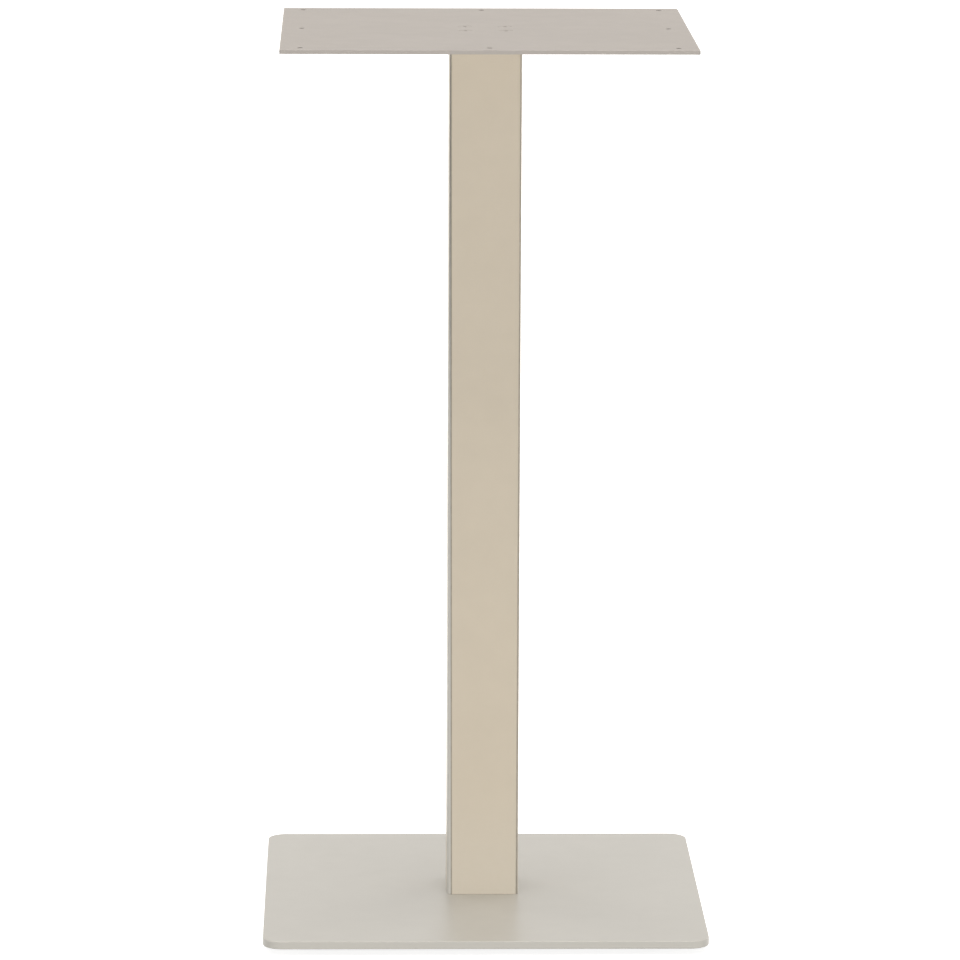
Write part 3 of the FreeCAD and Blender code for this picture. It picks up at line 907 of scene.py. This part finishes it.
# %% [markdown]
# ## Glide pads
#
# A pad is moulded upside down around a pin, so it has a pocket, a lip that snaps over the
# stud's head, and four slots that let the lip spring. Its foot has fine grip rings and the
# shallow round recess where the plastic went in. The rings and the pocket grow ring by
# ring like the metal parts. The slots aren't round, so a boolean modifier cuts them with
# four small bars, and its result is written into the mesh before the bars are removed. The
# bars dip a little below the pocket's ceiling: two faces in one plane would leave slivers.
# A pad is the widest turned piece, so its rings get twice as many points as a screw's.

# %% Pad shape
PAD_AROUND = 2 * AROUND
PAD_RADIUS = half_side("glide_pad_1")
PAD_HEIGHT = height_of("glide_pad_1")
PAD_FLOOR = 1.3 * MM
PAD_LEDGE = 3.2 * MM
FOOT_ROUND = 0.8 * MM
SHOULDER_ROUND = 1.0 * MM
GATE_RADIUS = 3 * MM
GATE_DEPTH = 0.4 * MM
GATE_DRAFT = 0.1 * MM           # the recess widens by this much on its way out
NIB_TOP = 0.6 * MM              # the stub where the plastic was broken off
NIB_FOOT = 0.9 * MM
NIB_HEIGHT = 0.15 * MM
POCKET_RADIUS = 8.05 * MM
MOUTH_RADIUS = 4.55 * MM
MOUTH_CHAMFER = 0.4 * MM
GRIP_RADII = (5.2 * MM, 7.4 * MM, 9.6 * MM, 11.8 * MM)
GRIP_DEPTH = 0.25 * MM
GRIP_SECTION = (
    # mm off the middle of the groove, part of its depth
    (-0.45, 0),
    (-0.3, 1),
    (0.3, 1),
    (0.45, 0),
)
SLOT_WIDTH = 1.2 * MM
SLOT_START = MOUTH_RADIUS - 1.5 * MM        # in the open mouth
SLOT_REACH = 9.05 * MM
SLOT_TALL = 2 * MM                          # more than the lip is thick
SLOT_DIP = 0.1 * MM                         # below the pocket's ceiling


def pad_outline(turning):
    turning.rings(
        (NIB_TOP, GATE_DEPTH - NIB_HEIGHT),
        (NIB_FOOT, GATE_DEPTH),
        (GATE_RADIUS, GATE_DEPTH),
        (GATE_RADIUS + GATE_DRAFT, 0),
    )
    for radius in GRIP_RADII:
        for offset, depth in GRIP_SECTION:
            turning.ring(radius + offset * MM, depth * GRIP_DEPTH)
    turning.round_over((PAD_RADIUS - FOOT_ROUND, 0), (PAD_RADIUS, FOOT_ROUND))
    shoulder = PAD_HEIGHT - SHOULDER_ROUND
    turning.round_over((PAD_RADIUS, shoulder), (PAD_RADIUS - SHOULDER_ROUND, PAD_HEIGHT))
    turning.rings(
        (MOUTH_RADIUS + MOUTH_CHAMFER, PAD_HEIGHT),
        (MOUTH_RADIUS, PAD_HEIGHT - MOUTH_CHAMFER),
        (MOUTH_RADIUS, PAD_LEDGE),
        (POCKET_RADIUS, PAD_LEDGE),
        (POCKET_RADIUS, PAD_FLOOR),
    )


def slot_bars():
    """Four small bars that cross the lip, one in each direction."""
    mesh = bmesh.new()
    bar = Vector((SLOT_REACH - SLOT_START, SLOT_WIDTH, SLOT_TALL))
    centre = Vector(((SLOT_REACH + SLOT_START) / 2, 0, PAD_LEDGE - SLOT_DIP + bar.z / 2))
    for quarter in range(4):
        points = bmesh.ops.create_cube(mesh, size=1)["verts"]
        spin = Matrix.Rotation(quarter * math.pi / 2, 3, "Z")
        bmesh.ops.scale(mesh, vec=bar, verts=points)
        bmesh.ops.translate(mesh, vec=centre, verts=points)
        bmesh.ops.rotate(mesh, cent=(0, 0, 0), matrix=spin, verts=points)
    return add_object("slot_bars", mesh)


def glide_pad(name):
    """The pad with its slots. The evaluated mesh is the one that the modifier has cut."""
    turning = Turning(PAD_AROUND)
    pad_outline(turning)
    pad = turning.make(name, PLASTIC)
    bars = slot_bars()
    cut = pad.modifiers.new("slots", "BOOLEAN")
    cut.operation = "DIFFERENCE"
    cut.object = bars
    depsgraph = bpy.context.evaluated_depsgraph_get()
    moulded = bpy.data.meshes.new_from_object(pad.evaluated_get(depsgraph))
    pad.modifiers.remove(cut)
    pad.data = moulded
    bpy.data.objects.remove(bars)
    shade_by_angle(moulded)
    return pad


for number in NUMBERS:
    node = f"glide_pad_{number}"
    pad = glide_pad(f"{node}_moulded")
    fit(pad, node, f"pad_{number}")
    print(node, "moulded, with", len(pad.data.polygons), "faces")

# %% [markdown]
# ## The camera
#
# The leg is seen from far off through a long lens, so upright edges stay almost upright.
# The place, the turn and the lens come from a fit to the edges of both plates and of the
# column. The picture is 960 pixels square, and the lens is written as its focal length in
# pixels. The three angles are turned into the camera's own axes: right, top and ahead.

# %% Camera
PICTURE = 960
FOCAL_PIXELS = 5743.0
SENSOR = 36.0
NEAREST, FURTHEST = 0.1, 300
CAMERA_PLACE = Vector((-0.1667, -7.1065, 1.8486))
YAW, PITCH_DOWN, ROLL = (math.radians(angle) for angle in (1.3103, 10.4032, 0.2452))


def make_camera():
    data = bpy.data.cameras.new("camera")
    data.sensor_width = SENSOR
    data.lens = FOCAL_PIXELS / PICTURE * SENSOR
    data.clip_start, data.clip_end = NEAREST, FURTHEST
    camera = bpy.data.objects.new("camera", data)
    bpy.context.scene.collection.objects.link(camera)
    level = Vector((math.sin(YAW), math.cos(YAW), 0))
    side = Vector((math.cos(YAW), -math.sin(YAW), 0))
    up = Vector((0, 0, 1))
    ahead = level * math.cos(PITCH_DOWN) - up * math.sin(PITCH_DOWN)
    head = up * math.cos(PITCH_DOWN) + level * math.sin(PITCH_DOWN)
    right = side * math.cos(ROLL) + head * math.sin(ROLL)
    top = head * math.cos(ROLL) - side * math.sin(ROLL)
    axes = Matrix((right, top, -ahead)).transposed()
    camera.matrix_world = Matrix.Translation(CAMERA_PLACE) @ axes.to_4x4()
    bpy.context.scene.camera = camera
    return camera


camera = make_camera()
spot = [round(part, 2) for part in CAMERA_PLACE]
print("lens", round(camera.data.lens, 1), "mm, from", spot)

# %% [markdown]
# ## A pale studio
#
# The background is plain white. Turning up the lamps until the floor clips would burn out
# the leg as well, so the white comes from what each ray is for. Light Path tells a camera
# ray from the rays that carry light: the camera, and anything glossy or clear, sees a white
# surround, while the leg is lit by a much weaker one.
#
# The floor is white paper that still takes the leg's shadow: what the camera sees is its
# own glow plus the light that falls on it, and a shadow takes away only the second part.
# From below it is clear, so that the underside can be looked at.

# %% Surround and floor
SURROUND = 0.25
FLOOR_GLOW = 0.82
FLOOR_HALF = 60
WHITE = (1, 1, 1, 1)
PAPER_LIT = (0.4, 0.4, 0.4, 1)          # what the leg is lit by
PAPER_SEEN = (0.72, 0.72, 0.72, 1)      # what the shadow falls on


def seen_rays(finish):
    """1 for a ray that shows something to the eye, 0 for one that only carries light."""
    path = finish.node("ShaderNodeLightPath")
    camera, glossy, clear = (
        path.beside(f"Is {kind} Ray") for kind in ("Camera", "Glossy", "Transmission")
    )
    return finish.maths("MAXIMUM", finish.maths("MAXIMUM", camera, glossy), clear)


def make_surround():
    world = bpy.data.worlds.new("surround")
    bpy.context.scene.world = world
    finish = Finish("surround", world)
    strength = SURROUND + seen_rays(finish) * (1 - SURROUND)
    inputs = {"Color": WHITE, "Strength": strength}
    light = finish.node("ShaderNodeBackground", None, inputs)
    finish.output(light, "ShaderNodeOutputWorld")


def make_floor():
    finish = Finish("floor_paper")
    paper = finish.node("ShaderNodeBsdfDiffuse", None, {"Color": PAPER_LIT})
    shaded = finish.node("ShaderNodeBsdfDiffuse", None, {"Color": PAPER_SEEN})
    glow_inputs = {"Color": WHITE, "Strength": FLOOR_GLOW}
    glow = finish.node("ShaderNodeEmission", None, glow_inputs)
    white = finish.node("ShaderNodeAddShader", None, {0: shaded, 1: glow})
    seen = seen_rays(finish)
    above = finish.node("ShaderNodeMixShader", None, {0: seen, 1: paper, 2: white})
    from_below = finish.node("ShaderNodeNewGeometry", output="Backfacing")
    clear = finish.node("ShaderNodeBsdfTransparent")
    sheet = finish.node("ShaderNodeMixShader", None, {0: from_below, 1: above, 2: clear})
    material = finish.output(sheet)
    mesh = bmesh.new()
    bmesh.ops.create_grid(mesh, x_segments=4, y_segments=4, size=FLOOR_HALF)
    add_object("floor", mesh, material)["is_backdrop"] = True


make_surround()
make_floor()
print("the surround lights at", SURROUND, "and shows at 1")

# %% [markdown]
# ## Soft light
#
# A long low softbox in front lights the column evenly from head to foot and throws no
# shadow under the top plate. Overhead hangs a wide, slightly warm ceiling of light, so far
# up that both plates get the same although one stands 1.1 m above the other. Two weaker
# softboxes behind keep the back from going dull. They stand at mid-height too, so that the
# column throws no long shadow over the base plate. The three low ones are kept out of
# reflections, as a polarising filter would do.
#
# A lamp's power is worked out from the light that it should give: a surface that faces it
# at that distance then shows that share of its own colour.

# %% Softboxes
SOFTBOXES = (
    # name, place, aimed at, width, height, light given, colour, shows in reflections
    ("front", (0.9, -9.0, 0.55), (0, 0, 0.55), 5.0, 1.1, 0.59, (1, 1, 1), False),
    ("overhead", (0.0, 0.0, 30.0), (0, 0, 0), 28.0, 28.0, 1.12, (1, 0.96, 0.91), True),
    ("back_left", (-6.0, 6.0, 0.55), (0, 0, 0.55), 2.6, 1.1, 0.44, (1, 1, 1), False),
    ("back_right", (6.0, 6.0, 0.55), (0, 0, 0.55), 2.6, 1.1, 0.44, (1, 1, 1), False),
)


def make_softbox(name, place, aim, width, height, light, colour, glossy):
    data = bpy.data.lights.new(name, "AREA")
    data.shape = "RECTANGLE"
    data.size = width
    data.size_y = height
    ray = Vector(aim) - Vector(place)
    data.energy = light * math.pi**2 * ray.length_squared
    data.color = colour
    box = bpy.data.objects.new(name, data)
    bpy.context.scene.collection.objects.link(box)
    aimed = ray.to_track_quat("-Z", "Y").to_matrix().to_4x4()
    box.matrix_world = Matrix.Translation(place) @ aimed
    box.visible_camera = False
    box.visible_glossy = glossy
    print(name, "softbox:", round(data.energy), "W")


for softbox in SOFTBOXES:
    make_softbox(*softbox)
bpy.context.scene.view_settings.view_transform = "Standard"

# %% [markdown]
# ## The dressed leg's box
#
# The dressed leg must stay the size of its solids, so its box is measured here and printed.

# %% Measure the box and finish
model_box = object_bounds()
sides = [round(side / MM, 2) for side in model_box[1] - model_box[0]]
print("the dressed leg measures", sides, "mm")
